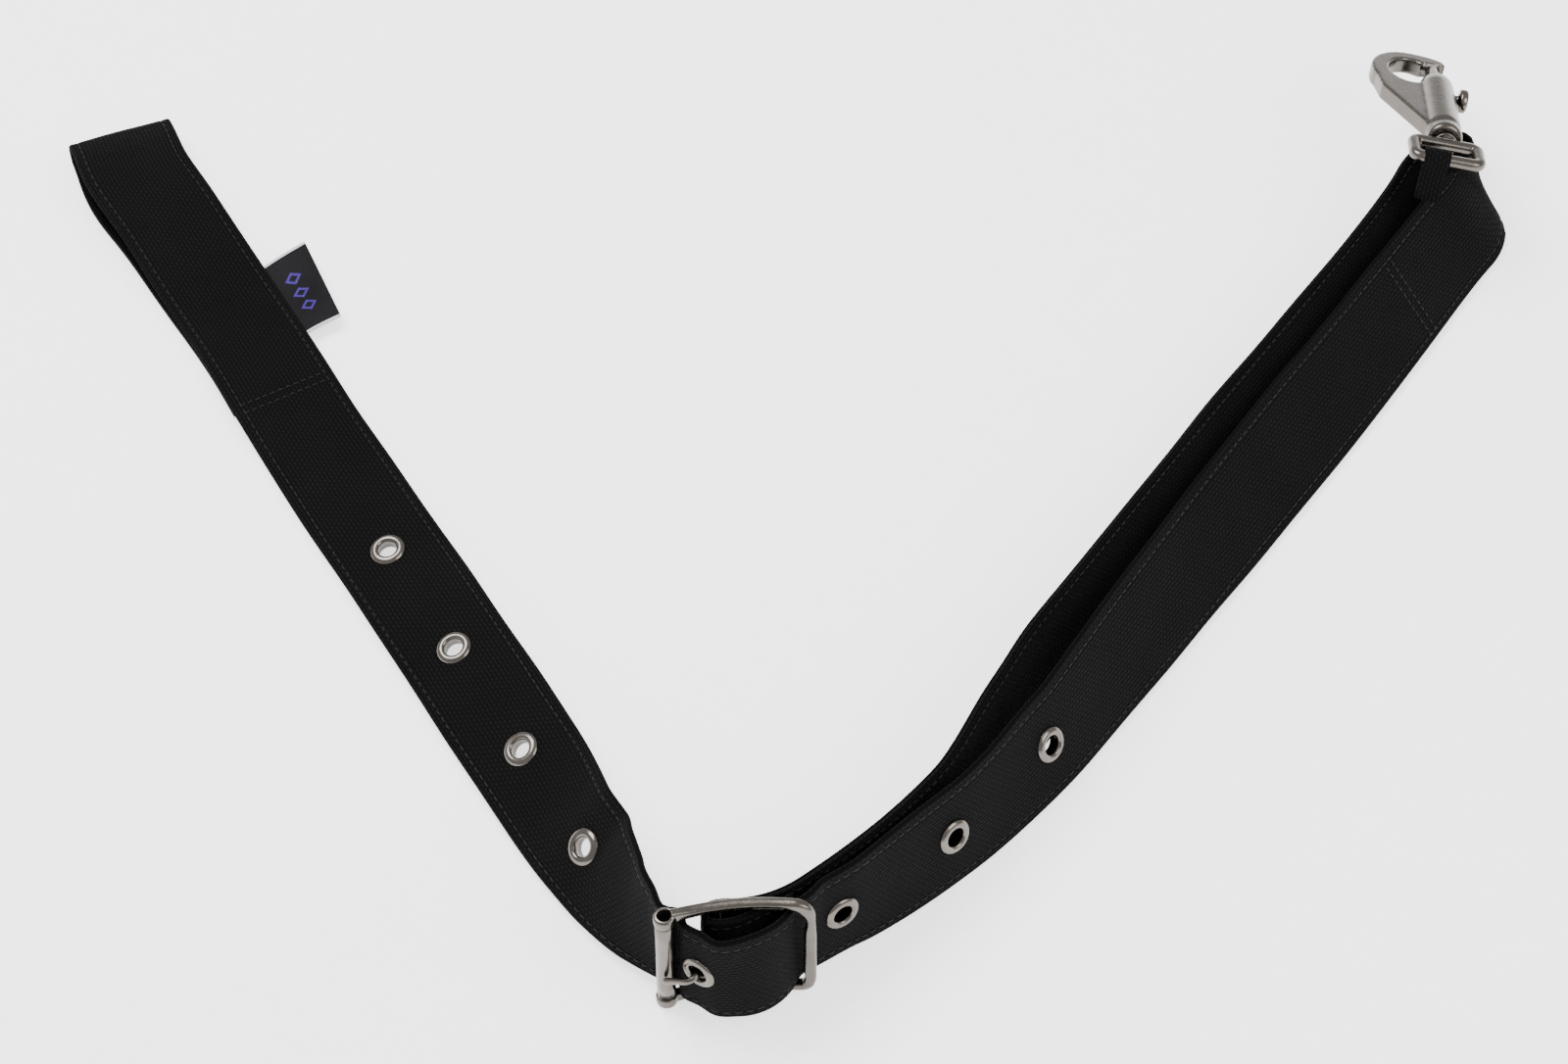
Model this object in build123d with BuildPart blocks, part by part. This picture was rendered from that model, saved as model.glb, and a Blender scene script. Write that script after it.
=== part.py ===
from build123d import *
from math import atan2, cos, degrees, radians, sin
import os

# A harness martingale: one long webbing strap that passes through a roller buckle, with a sewn
# girth loop at one end and a swivel snap hanging in a fold at the other. It lies in a V on a
# floor at z = 0. The origin is on the floor under the middle of the whole part, +Y runs up the
# V from the buckle. Routes and places below are measured from under the front of the buckle,
# and MIDDLE_X and MIDDLE_Y are where the part's middle is in those measurements.
MIDDLE_X = 15.63
MIDDLE_Y = 200.26

# Webbing
STRAP_W = 38.0
STRAP_T = 2.6
FLAT_HALF = 6.6  # half the flat stretch of strap under an eyelet

# Eyelets, and the washers that close them from behind
HOLE_R = 3.2
BARREL_R = 3.7
FLANGE_R = 6.2
FLANGE_H = 1.2
WASHER_R = 5.8
WASHER_H = 0.8
SEAT_EASE = 0.03

# Buckle, in its own plane: a along the strap, d behind, z up
BUCKLE_X, BUCKLE_Y = 1.0, 8.0
BUCKLE_TURN = 5.9  # degrees that the frame is turned about Z
FRAME_W = 49.0
FRAME_H = 46.0
SIDE_W = 4.2
RAIL_W = 3.0
FRAME_T = 3.6
BOW = 3.0  # how far the rails bow back at their middle
BAR_A = 22.4  # from the middle of the frame to each end bar
ROLLER_R = 2.7
ROLLER_BORE_R = 1.6
ROLLER_PIN_R = 1.3
BOSS_R = 2.9  # the eyes at the roller's ends
BOSS_H = 4.0
BOSS_HOLE_R = 1.75
BOSS_HOLE_DEPTH = 2.5
ROLLER_END_GAP = 0.3
CENTRE_BAR_A = -6.5
CENTRE_BAR_R = 1.9
CENTRE_D = BOW * (1 - (CENTRE_BAR_A / BAR_A) ** 2)
CHAPE_START = (26.0, 15.6)
CHAPE_LEAD = (18.5, 10.6)
SOCKET_DEPTH = 1.6
TONGUE_R = 1.05
TONGUE_RING_R = 3.6
TONGUE_RING_H = 4.6
PIVOT_GAP = 0.08
CHAPE_R = 3.5  # middle of the webbing, round the centre bar
CHAPE_SLOT_H = 8.0
RAISE = 4.0  # the webbing runs this far above the floor inside the frame

# Fold of the strap at the snap's end
TUNNEL_GAP = 13.6  # floor distance between the two layers at the fold

# Snap, in its own plane: x across, y towards the head
SNAP_AT = (249.2, 347.8, 40.8)
SNAP_TOWARDS = (0.052, 0.940, -0.330)
SNAP_ROLL = 9.0
BARREL_LOW = -8.0
BARREL_LENGTH = 46.0
BARREL_OUT_R = 6.6
BOLT_R = 2.9
BOLT_BORE_R = 2.98
BOLT_LOW = 20.0
BORE_LOW = 5.0
HEAD_T = 9.0
RING_HALF_W = 7.6
RING_HALF_H = 8.8
HOOK_TOP = 57.5
HOOK_TIP_X = 4.0
MOUTH_LOW = 38.0
MOUTH_HIGH = 51.5
SLOT_LOW = 15.5
SLOT_HIGH = 32.0
SLOT_HALF_W = 1.9
KNOB_Y = 29.5
KNOB_STEM_R = 1.7
KNOB_OUT = 8.0
KNOB_T = 3.2
KNOB_R = 4.3
SPRING_R = 2.7
SPRING_WIRE = 0.7
SWIVEL_R = 3.0
SWIVEL_GAP = 0.08
SWIVEL_HEAD_R = 4.4
SWIVEL_HEAD_H = 2.4
EYE_W = 27.0
EYE_LENGTH = 17.0
EYE_WIRE_R = 2.0
KEEPER_W = 9.0
KEEPER_LEFT = -8.5
KEEPER_T = 1.2
KEEPER_R = 2.5
KEEPER_TAIL = 13.0
KEEPER_DROP = 262.0  # the tail's direction across the bar, in degrees

# The label
LABEL_LENGTH = 36.0
LABEL_OUT = 17.0
LABEL_T = 0.8

# The strap's lower edge along its middle surface: x, y, lift above the floor, tilt in degrees.
# Tilt 0 lies flat, 90 stands on edge. A stop with a fifth value, the heading, is an eyelet in the
# middle of a flat stretch.
GIRTH_ARM = [
    (-241.5, 369.0, 8.6, 0),
    (-233.0, 345.5, 11.0, 0),
    (-223.0, 328.0, 9.6, 0),
    (-212.0, 310.0, 6.0, 0),
    (-201.0, 292.5, 2.8, 0),
    (-187.5, 269.5, 2.8, 0),
    (-176.0, 248.0, 2.8, 1),
    (-166.0, 230.0, 0.6, 3),
    (-152.5, 206.5, 0.0, 6),
    (-134.5, 174.6, 0.0, 10, -60.0),
    (-109.3, 130.9, 0.0, 17, -60.0),
    (-84.0, 87.4, 0.0, 27, -59.5),
    (-69.0, 62.6, 0.0, 38),
    (-58.4, 46.0, 0.6, 46, -55.5),
    (-48.5, 32.6, 1.4, 56),
    (-42.0, 25.4, 2.0, 63),
    (-37.4, 21.4, 2.4, 69),
]
MAIN_STRAP = [
    (-35.2, 19.8, 2.6, 72),
    (-28.4, 15.2, 3.4, 81),
    (-21.6, 11.5, RAISE, 90),
    (-16.6, 10.2, RAISE, 90),
    (-10.6, 1.4, RAISE, 90, -34.8),
    (-0.5, -2.6, RAISE, 90),
    (5.5, -1.9, RAISE, 90),
    (10.5, 0.4, RAISE, 90),
    (14.9, 4.4, RAISE, 90),
    (17.8, 8.9, RAISE, 90),
    (19.6, 13.2, RAISE, 90),
    (23.2, 16.4, 3.9, 89),
    (33.6, 22.4, 3.4, 84, 32.5),
    (47.0, 31.4, 2.0, 80),
    (58.0, 40.2, 1.0, 77),
    (71.5, 51.8, 0.3, 75, 41.5),
    (85.0, 64.8, 0.0, 73),
    (95.0, 75.6, 0.0, 70),
    (105.6, 87.6, 0.0, 67, 49.5),
    (118.0, 103.4, 0.0, 64),
    (134.8, 126.6, 0.0, 59),
    (156.0, 155.6, 0.0, 53),
    (178.0, 186.8, 0.0, 48),
    (200.5, 218.8, 0.0, 45),
    (223.5, 252.4, 0.0, 46),
    (244.0, 283.2, 0.0, 48),
    (260.5, 309.4, 0.0, 50),
    (273.0, 330.2, 0.0, 51),
]
# Floor distance from the front layer to the back one, at the same stations
# Floor distance from the front layer to the back one, from the fold back to the buckle
LAYER_GAPS = [13.6, 13.6, 13.4, 13.2, 13.2, 13.6, 14.4, 15.6, 16.4, 15.4, 13.6, 12.4, 9.6, 7.8, 6.2, 5.4]


class Section:
    """One cut across a strap: its lower edge, travel direction, tilt and width direction."""

    def __init__(self, x, y, lift, tilt, travel=None):
        self.edge = Vector(x - MIDDLE_X, y - MIDDLE_Y, lift + STRAP_T / 2 * cos(radians(tilt)))
        self.tilt = tilt
        if travel is not None:
            self.aim(travel)

    def aim(self, travel):
        self.travel = travel
        self.inward = Vector(-travel.Y, travel.X, 0)
        rise = Vector(0, 0, sin(radians(self.tilt)))
        self.across = self.inward * cos(radians(self.tilt)) + rise
        self.normal = travel.cross(self.across)

    def plane(self, shift=Vector(0, 0, 0)):
        middle = self.edge + self.across * (STRAP_W / 2) + shift
        return Plane(origin=middle, x_dir=self.across, z_dir=self.travel)


def heading_vector(angle):
    return Vector(cos(radians(angle)), sin(radians(angle)), 0)


def read_route(route):
    """The sections along a route, and the section at the middle of each eyelet."""
    sections, eyelets = [], []
    for stop in route:
        if len(stop) == 4:
            sections.append(Section(*stop))
            continue
        x, y, lift, tilt, heading = stop
        travel = heading_vector(heading)
        for k in (-FLAT_HALF, FLAT_HALF):
            sections.append(Section(x + k * travel.X, y + k * travel.Y, lift, tilt, travel))
        eyelets.append(Section(x, y, lift, tilt, travel))
    for i, section in enumerate(sections):
        last = sections[max(i - 1, 0)].edge
        following = sections[min(i + 1, len(sections) - 1)].edge
        section.aim(Vector(following.X - last.X, following.Y - last.Y, 0).normalized())
    return sections, eyelets


def strap_solid(planes, eyelets):
    """A ribbon through the planes, with a hole and two flat seats at each eyelet."""
    with BuildPart() as ribbon:
        for plane in planes:
            with BuildSketch(plane):
                Rectangle(STRAP_W, STRAP_T)
        loft(ruled=True)
        for eyelet in eyelets:
            seat = eyelet_plane(eyelet)
            with BuildSketch(seat):
                Circle(BARREL_R)
            extrude(amount=STRAP_T * 2, both=True, mode=Mode.SUBTRACT)
            with BuildSketch(seat.offset(STRAP_T / 2 - SEAT_EASE)):
                Circle(FLANGE_R + 0.2)
            extrude(amount=STRAP_T, mode=Mode.SUBTRACT)
            with BuildSketch(seat.offset(SEAT_EASE - STRAP_T / 2)):
                Circle(WASHER_R + 0.2)
            extrude(amount=-STRAP_T, mode=Mode.SUBTRACT)
    return ribbon


def eyelet_plane(eyelet):
    middle = eyelet.edge + eyelet.across * (STRAP_W / 2)
    return Plane(origin=middle, x_dir=eyelet.travel, z_dir=eyelet.normal)


def save(builder, name):
    builder.part.label = name
    export_step(builder.part, f"parts/{name}.step")


def make_eyelet(eyelet, number):
    """The rolled eyelet on the outer face, and the washer that closes it behind."""
    middle = eyelet.edge + eyelet.across * (STRAP_W / 2)
    profile = Plane(origin=middle, x_dir=eyelet.travel, z_dir=-eyelet.across)
    spin = Axis(middle, eyelet.normal)
    top = STRAP_T / 2
    bottom = -STRAP_T / 2 - WASHER_H
    with BuildPart() as ring:
        with BuildSketch(profile):
            with BuildLine():
                Polyline((HOLE_R, bottom), (BARREL_R, bottom), (BARREL_R, top), (FLANGE_R, top))
                ThreePointArc((FLANGE_R, top), ((HOLE_R + FLANGE_R) / 2, top + FLANGE_H), (HOLE_R, top))
                Line((HOLE_R, top), (HOLE_R, bottom))
            make_face()
        revolve(axis=spin)
    save(ring, f"eyelet_{number}")
    with BuildPart() as washer:
        with BuildSketch(profile):
            with BuildLine():
                Polyline((BARREL_R, -top), (BARREL_R, bottom), (WASHER_R - 0.5, bottom))
                Polyline((WASHER_R - 0.5, bottom), (WASHER_R, -top - 0.3), (WASHER_R, -top), (BARREL_R, -top))
            make_face()
        revolve(axis=spin)
    save(washer, f"eyelet_washer_{number}")


def buckle_point(a, d, z=0.0):
    turn = radians(BUCKLE_TURN)
    return Vector(
        BUCKLE_X - MIDDLE_X + a * cos(turn) - d * sin(turn),
        BUCKLE_Y - MIDDLE_Y + a * sin(turn) + d * cos(turn),
        z,
    )


def buckle_plane(z):
    """The floor plan of the buckle at a height: x along the strap, y behind."""
    return Plane(origin=buckle_point(0, 0, z), x_dir=heading_vector(BUCKLE_TURN), z_dir=(0, 0, 1))


def make_girth_arm(sections, eyelets):
    planes = [section.plane() for section in sections]
    save(strap_solid(planes[:8], []), "girth_arm_end")
    save(strap_solid(planes[7:], eyelets), "girth_arm")


def make_girth_loop(sections):
    """The strap's end, folded back under the arm and sewn to it beyond the loop."""
    first = sections[0]
    top_z = first.edge.Z
    radius = (top_z - STRAP_T / 2) / 2
    planes = []
    for angle in (90, 60, 30, 0, -30, -60, -90):
        out = first.travel * (-radius * cos(radians(angle)))
        drop = Vector(0, 0, radius * (sin(radians(angle)) - 1))
        turned = Plane(
            origin=first.edge + first.across * (STRAP_W / 2) + out + drop,
            x_dir=first.across,
            z_dir=first.travel * sin(radians(angle)) + Vector(0, 0, cos(radians(angle))),
        )
        planes.append(turned)
    with BuildPart() as loop:
        for plane in planes:
            with BuildSketch(plane):
                Rectangle(STRAP_W, STRAP_T)
        loft(ruled=True)
        for section in sections[:7]:
            height = section.edge.Z - STRAP_T / 2
            with BuildSketch(section.plane(Vector(0, 0, -height))):
                Rectangle(STRAP_W, STRAP_T)
        loft(ruled=True)
    save(loop, "girth_loop")


def make_label(sections):
    """A folded tag sewn into the seam at the arm's inner edge."""
    near, far = sections[5], sections[4]
    along = (far.edge - near.edge).normalized()
    corner = near.edge + near.across * (STRAP_W + 2.8) - along * 12
    middle = corner + along * (LABEL_LENGTH / 2) + near.across * (LABEL_OUT / 2)
    lie = Plane(origin=middle, x_dir=along, z_dir=near.normal).rotated((0, 0, 8))
    with BuildPart() as label:
        with BuildSketch(lie):
            Rectangle(LABEL_LENGTH, LABEL_OUT)
        extrude(amount=LABEL_T / 2, both=True)
    save(label, "label")


def make_main_strap(sections, eyelets):
    """The strap through the frame, and the front layer up to the fold."""
    planes = [section.plane() for section in sections]
    after_frame = 15
    save(strap_solid(planes[:after_frame], eyelets[:2]), "strap_through_buckle")
    save(strap_solid(planes[after_frame - 1 :], eyelets[2:]), "front_layer")


def make_back_layer(sections):
    """The back layer, from the fold down to the bar that its end is sewn round."""
    planes = []
    for section, gap in zip(reversed(sections), LAYER_GAPS):
        planes.append(section.plane(section.inward * gap))
    save(strap_solid(planes[:8], []), "back_layer")
    across, back = CHAPE_START[0] - CHAPE_LEAD[0], CHAPE_START[1] - CHAPE_LEAD[1]
    planes.append(upright_plane(*CHAPE_START, degrees(atan2(back, across))))
    save(strap_solid(planes[7:], []), "back_layer_end")


def make_fold(sections):
    """The half turn of strap that the snap hangs in."""
    last = sections[-1]
    half = last.inward * (TUNNEL_GAP / 2)
    radius = TUNNEL_GAP / 2 * sin(radians(last.tilt))
    slide = TUNNEL_GAP / 2 * cos(radians(last.tilt))
    planes = []
    for angle in range(90, -91, -30):
        turn = radians(angle)
        out = last.travel * (radius * cos(turn))
        side = last.normal * (radius * sin(turn))
        shift = half + out + side - last.across * (slide * sin(turn))
        middle = last.edge + last.across * (STRAP_W / 2) + shift
        ahead = last.travel * sin(turn) - last.normal * cos(turn)
        planes.append(Plane(origin=middle, x_dir=last.across, z_dir=ahead))
    save(strap_solid(planes, []), "snap_fold")


def upright_plane(a, d, heading, z=RAISE + STRAP_W / 2):
    travel = heading_vector(heading + BUCKLE_TURN)
    return Plane(origin=buckle_point(a, d, z), x_dir=(0, 0, 1), z_dir=travel)


def make_chape():
    """The strap's end: in behind the strap, round the centre bar and sewn to itself."""
    with BuildPart() as chape:
        with BuildSketch(buckle_plane(RAISE)):
            with BuildLine():
                Polyline(CHAPE_START, CHAPE_LEAD, (11.0, 7.6), (2.0, CENTRE_D + CHAPE_R), (CENTRE_BAR_A, CENTRE_D + CHAPE_R))
                CenterArc((CENTRE_BAR_A, CENTRE_D), CHAPE_R, 90, 180)
                Polyline((CENTRE_BAR_A, CENTRE_D - CHAPE_R), (0.0, CENTRE_D - 3.1), (7.5, 3.0), (12.5, 4.6), (18.5, 7.0))
            trace(line_width=STRAP_T)
        extrude(amount=STRAP_W)
        with BuildSketch(buckle_plane(RAISE + STRAP_W / 2 - CHAPE_SLOT_H / 2)):
            with Locations((CENTRE_BAR_A, CENTRE_D)):
                Rectangle(14, 14)
        extrude(amount=CHAPE_SLOT_H, mode=Mode.SUBTRACT)
    save(chape, "buckle_chape")


def make_buckle(eyelet):
    """Frame, with the roller's pin as its left side; roller, centre bar and tongue."""
    roller_z = RAIL_W + 1.2
    front = Plane(
        origin=buckle_point(0, -20, FRAME_H / 2),
        x_dir=heading_vector(BUCKLE_TURN),
        z_dir=-heading_vector(BUCKLE_TURN + 90),
    )
    bow_r = (BAR_A**2 + BOW**2) / (2 * BOW)
    with BuildPart() as frame:
        with BuildSketch(front):
            RectangleRounded(FRAME_W, FRAME_H, 7)
            with Locations((SIDE_W * 0.1, 0)):
                RectangleRounded(FRAME_W - 1.8 * SIDE_W, FRAME_H - 2 * RAIL_W, 2, mode=Mode.SUBTRACT)
        extrude(amount=-40)
        with BuildSketch(buckle_plane(-5)):
            with Locations((0, BOW - bow_r)):
                Circle(bow_r + FRAME_T / 2)
                Circle(bow_r - FRAME_T / 2, mode=Mode.SUBTRACT)
        extrude(amount=FRAME_H + 10, mode=Mode.INTERSECT)
        with BuildSketch(buckle_plane(roller_z)):
            with Locations((-BAR_A, 0)):
                Rectangle(3.2 * ROLLER_R, 4 * ROLLER_R)
        extrude(amount=FRAME_H - 2 * roller_z, mode=Mode.SUBTRACT)
        for low in (0, FRAME_H - BOSS_H):
            with BuildSketch(buckle_plane(low)):
                with Locations((-BAR_A, 0)):
                    Circle(BOSS_R)
            extrude(amount=BOSS_H)
        with BuildSketch(buckle_plane(RAIL_W / 2)):
            with Locations((-BAR_A, 0)):
                Circle(ROLLER_PIN_R)
        extrude(amount=FRAME_H - RAIL_W)
        with BuildSketch(buckle_plane(FRAME_H - BOSS_HOLE_DEPTH)):
            with Locations((-BAR_A, 0)):
                Circle(BOSS_HOLE_R)
        extrude(amount=BOSS_HOLE_DEPTH, mode=Mode.SUBTRACT)
        with BuildSketch(buckle_plane(RAIL_W - SOCKET_DEPTH)):
            with Locations((CENTRE_BAR_A, CENTRE_D)):
                Circle(CENTRE_BAR_R)
        extrude(amount=FRAME_H - 2 * (RAIL_W - SOCKET_DEPTH), mode=Mode.SUBTRACT)
    save(frame, "buckle_frame")
    with BuildPart() as roller:
        with BuildSketch(buckle_plane(roller_z + ROLLER_END_GAP)):
            with Locations((-BAR_A, 0)):
                Circle(ROLLER_R)
                Circle(ROLLER_BORE_R, mode=Mode.SUBTRACT)
        extrude(amount=FRAME_H - 2 * (roller_z + ROLLER_END_GAP))
        ends = roller.edges().filter_by(GeomType.CIRCLE)
        fillet(ends.group_by(SortBy.RADIUS)[-1], 0.4)
    save(roller, "buckle_roller")
    with BuildPart() as bar:
        with BuildSketch(buckle_plane(RAIL_W - SOCKET_DEPTH)):
            with Locations((CENTRE_BAR_A, CENTRE_D)):
                Circle(CENTRE_BAR_R)
        extrude(amount=FRAME_H - 2 * (RAIL_W - SOCKET_DEPTH))
    save(bar, "buckle_centre_bar")
    make_tongue(eyelet)


def make_tongue(eyelet):
    """A ring round the centre bar, and a prong out through the eyelet to rest on the roller."""
    level = RAISE + STRAP_W / 2
    pivot = buckle_point(CENTRE_BAR_A, CENTRE_D, level)
    hole = Vector(eyelet.edge.X, eyelet.edge.Y, level)
    out = (hole - pivot).normalized()
    rest = buckle_point(-BAR_A - 1.0, -ROLLER_R - TONGUE_R - 0.1, level)
    start = pivot + out * (CENTRE_BAR_R + PIVOT_GAP + 0.9)
    bend = hole + out * 5.2
    with BuildPart() as tongue:
        with BuildLine():
            FilletPolyline(start, bend, rest, radius=4)
        with BuildSketch(Plane(origin=start, z_dir=out)):
            Circle(TONGUE_R)
        sweep()
        with BuildSketch(buckle_plane(level - TONGUE_RING_H / 2)):
            with Locations((CENTRE_BAR_A, CENTRE_D)):
                Circle(TONGUE_RING_R)
        extrude(amount=TONGUE_RING_H)
        with BuildSketch(buckle_plane(level - TONGUE_RING_H)):
            with Locations((CENTRE_BAR_A, CENTRE_D)):
                Circle(CENTRE_BAR_R + PIVOT_GAP)
        extrude(amount=2 * TONGUE_RING_H, mode=Mode.SUBTRACT)
    save(tongue, "buckle_tongue")


def snap_frame():
    """The snap's own plane: x to the knob's side, y to the head, z out of the face."""
    ahead = Vector(*SNAP_TOWARDS).normalized()
    level = ahead.cross(Vector(0, 0, 1)).normalized()
    up = level.cross(ahead)
    roll = radians(SNAP_ROLL)
    side = level * cos(roll) - up * sin(roll)
    place = Vector(*SNAP_AT) - Vector(MIDDLE_X, MIDDLE_Y, 0)
    return Plane(origin=place, x_dir=side, z_dir=side.cross(ahead))


def cut_across(snap, y, x=0.0):
    """A plane square to the snap's length, at a height y from its middle line."""
    return Plane(origin=snap.from_local_coords((x, y, 0)), x_dir=snap.x_dir, z_dir=snap.y_dir)


def make_snap_body(snap):
    """The hook with its barrel, the bolt's bore and slot, and the swivel's socket."""
    with BuildPart() as body:
        with BuildSketch(snap):
            with BuildLine():
                Polyline((0, -2), (-BARREL_OUT_R, 0), (-BARREL_OUT_R - 0.8, 8.0), (-21.5, 27.0))
                ThreePointArc((-21.5, 27.0), (-23.8, 42.0), (-9.4, HOOK_TOP))
                ThreePointArc((-9.4, HOOK_TOP), (-0.5, 56.0), (HOOK_TIP_X, MOUTH_HIGH + 1.5))
                Polyline((HOOK_TIP_X, MOUTH_HIGH + 1.5), (HOOK_TIP_X, 30), (0, -2))
            make_face()
            with Locations((-9.4, 42.4)):
                Ellipse(RING_HALF_W, RING_HALF_H, mode=Mode.SUBTRACT)
        extrude(amount=HEAD_T / 2, both=True)
        with BuildSketch(cut_across(snap, BARREL_LOW)):
            Circle(BARREL_OUT_R)
        extrude(amount=BARREL_LENGTH)
        with BuildSketch(cut_across(snap, MOUTH_LOW)):
            Rectangle(9.6, 3 * HEAD_T)
        extrude(amount=MOUTH_HIGH - MOUTH_LOW, mode=Mode.SUBTRACT)
        with BuildSketch(cut_across(snap, BORE_LOW)):
            Circle(BOLT_BORE_R)
        extrude(amount=MOUTH_LOW - BORE_LOW + 1, mode=Mode.SUBTRACT)
        with BuildSketch(Plane(origin=snap.origin, x_dir=snap.y_dir, z_dir=snap.x_dir)):
            with Locations(((SLOT_LOW + SLOT_HIGH) / 2, 0)):
                SlotOverall(SLOT_HIGH - SLOT_LOW, 2 * SLOT_HALF_W)
        extrude(amount=2 * BARREL_OUT_R, mode=Mode.SUBTRACT)
        with BuildSketch(cut_across(snap, BARREL_LOW)):
            Circle(SWIVEL_R + SWIVEL_GAP)
        extrude(amount=6, mode=Mode.SUBTRACT)
        with BuildSketch(cut_across(snap, BARREL_LOW + 5)):
            Circle(SWIVEL_HEAD_R + 0.3)
        extrude(amount=SWIVEL_HEAD_H + 0.6, mode=Mode.SUBTRACT)
    save(body, "snap_body")


def make_snap_bolt(snap):
    """The sliding bolt that closes the mouth, its thumb knob and the spring behind it."""
    with BuildPart() as bolt:
        with BuildSketch(cut_across(snap, BOLT_LOW)):
            Circle(BOLT_R)
        extrude(amount=MOUTH_HIGH - 0.2 - BOLT_LOW)
        fillet(bolt.edges().filter_by(GeomType.CIRCLE), 0.6)
    save(bolt, "snap_bolt")
    stem = Plane(origin=snap.from_local_coords((0, KNOB_Y, 0)), x_dir=snap.y_dir, z_dir=snap.x_dir)
    with BuildPart() as knob:
        with BuildSketch(stem.offset(BOLT_R + 0.02)):
            Circle(KNOB_STEM_R)
        extrude(amount=KNOB_OUT - BOLT_R)
        with BuildSketch(stem.offset(KNOB_OUT)):
            Circle(KNOB_R)
        extrude(amount=KNOB_T)
        fillet(knob.edges().filter_by(GeomType.CIRCLE).group_by(SortBy.RADIUS)[-1], 1.0)
    save(knob, "bolt_knob")
    with BuildPart() as spring:
        with BuildSketch(cut_across(snap, BORE_LOW + 0.3)):
            Circle(SPRING_R)
            Circle(SPRING_R - SPRING_WIRE, mode=Mode.SUBTRACT)
        extrude(amount=BOLT_LOW - BORE_LOW - 0.6)
    save(spring, "bolt_spring")


def make_snap_eye(snap):
    """The square eye, on a headed post that turns in the barrel's end."""
    eye_top = BARREL_LOW - 0.6
    with BuildPart() as eye:
        with BuildSketch(snap):
            with Locations((0, eye_top - EYE_LENGTH / 2)):
                RectangleRounded(EYE_W, EYE_LENGTH, 3.5)
                RectangleRounded(EYE_W - 4 * EYE_WIRE_R, EYE_LENGTH - 4 * EYE_WIRE_R, 1.5, mode=Mode.SUBTRACT)
        extrude(amount=EYE_WIRE_R, both=True)
        fillet(eye.faces().filter_by(Axis((0, 0, 0), snap.z_dir)).edges(), 1.2)
        with BuildSketch(cut_across(snap, eye_top - EYE_WIRE_R)):
            Circle(SWIVEL_R)
        extrude(amount=EYE_WIRE_R + 0.6 + 5.6)
        with BuildSketch(cut_across(snap, BARREL_LOW + 5.3)):
            Circle(SWIVEL_HEAD_R)
        extrude(amount=SWIVEL_HEAD_H)
    save(eye, "snap_eye")


def make_keeper(snap):
    """A narrow tape round the eye's far bar, sewn inside the fold."""
    bar_y = BARREL_LOW - 0.6 - EYE_LENGTH + EYE_WIRE_R
    path = Plane(
        origin=snap.from_local_coords((KEEPER_LEFT, bar_y, 0)),
        x_dir=snap.y_dir,
        z_dir=snap.x_dir,
    )
    with BuildPart() as keeper:
        with BuildSketch(path):
            Circle(KEEPER_R + KEEPER_T)
            with PolarLocations(KEEPER_R + KEEPER_TAIL / 2, 1, KEEPER_DROP):
                Rectangle(KEEPER_TAIL, 2 * KEEPER_T)
            Circle(KEEPER_R, mode=Mode.SUBTRACT)
        extrude(amount=KEEPER_W)
    save(keeper, "snap_keeper")


def make_snap():
    snap = snap_frame()
    make_snap_body(snap)
    make_snap_bolt(snap)
    make_snap_eye(snap)
    make_keeper(snap)


def main():
    os.makedirs("parts", exist_ok=True)
    arm, arm_eyelets = read_route(GIRTH_ARM)
    strap, strap_eyelets = read_route(MAIN_STRAP)
    make_girth_arm(arm, arm_eyelets)
    make_girth_loop(arm)
    make_label(arm)
    make_main_strap(strap, strap_eyelets)
    make_fold(strap)
    make_back_layer(strap)
    make_chape()
    for number, eyelet in enumerate(arm_eyelets + strap_eyelets, 1):
        make_eyelet(eyelet, number)
    make_buckle(strap_eyelets[0])
    make_snap()


main()
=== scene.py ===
from math import cos, pi, radians, sin

import bmesh
import bpy
import numpy as np
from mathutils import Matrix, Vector


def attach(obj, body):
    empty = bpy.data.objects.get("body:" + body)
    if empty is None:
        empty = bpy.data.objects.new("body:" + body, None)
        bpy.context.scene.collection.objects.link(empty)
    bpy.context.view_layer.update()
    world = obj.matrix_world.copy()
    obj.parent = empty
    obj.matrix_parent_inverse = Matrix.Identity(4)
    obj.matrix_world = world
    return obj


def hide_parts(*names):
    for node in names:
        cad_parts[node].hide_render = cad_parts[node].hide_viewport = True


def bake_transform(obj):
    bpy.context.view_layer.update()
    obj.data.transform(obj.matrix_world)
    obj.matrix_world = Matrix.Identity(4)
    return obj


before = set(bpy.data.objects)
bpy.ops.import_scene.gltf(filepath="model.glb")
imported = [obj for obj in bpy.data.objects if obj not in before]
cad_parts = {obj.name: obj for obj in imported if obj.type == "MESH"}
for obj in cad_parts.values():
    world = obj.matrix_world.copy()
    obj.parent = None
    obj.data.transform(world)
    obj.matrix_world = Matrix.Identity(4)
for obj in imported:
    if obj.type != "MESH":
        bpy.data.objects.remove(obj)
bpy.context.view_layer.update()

# A webbing martingale lying in a V on a pale floor. Lengths here are millimetres, turned into
# metres by MM when a mesh is made. Routes are measured from under the front of the buckle, as in
# the CAD, and MIDDLE is where the part's own origin is in those measurements.
MM = 0.001
MIDDLE = Vector((15.63, 200.26, 0.0))
UP = Vector((0.0, 0.0, 1.0))

STRAP_W = 38.0
STRAP_T = 2.6  # the CAD ribbon, which the visible webbing stays inside
FLAT_HALF = 6.6
RAISE = 4.0
TUNNEL_GAP = 13.6

BUCKLE_AT = Vector((1.0, 8.0, 0.0))
BUCKLE_TURN = 5.9
FRAME_H = 46.0
BAR_A = 22.4
BOW = 3.0
CENTRE_BAR_A = -6.5
CENTRE_D = BOW * (1 - (CENTRE_BAR_A / BAR_A) ** 2)
CHAPE_R = 3.5

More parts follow.
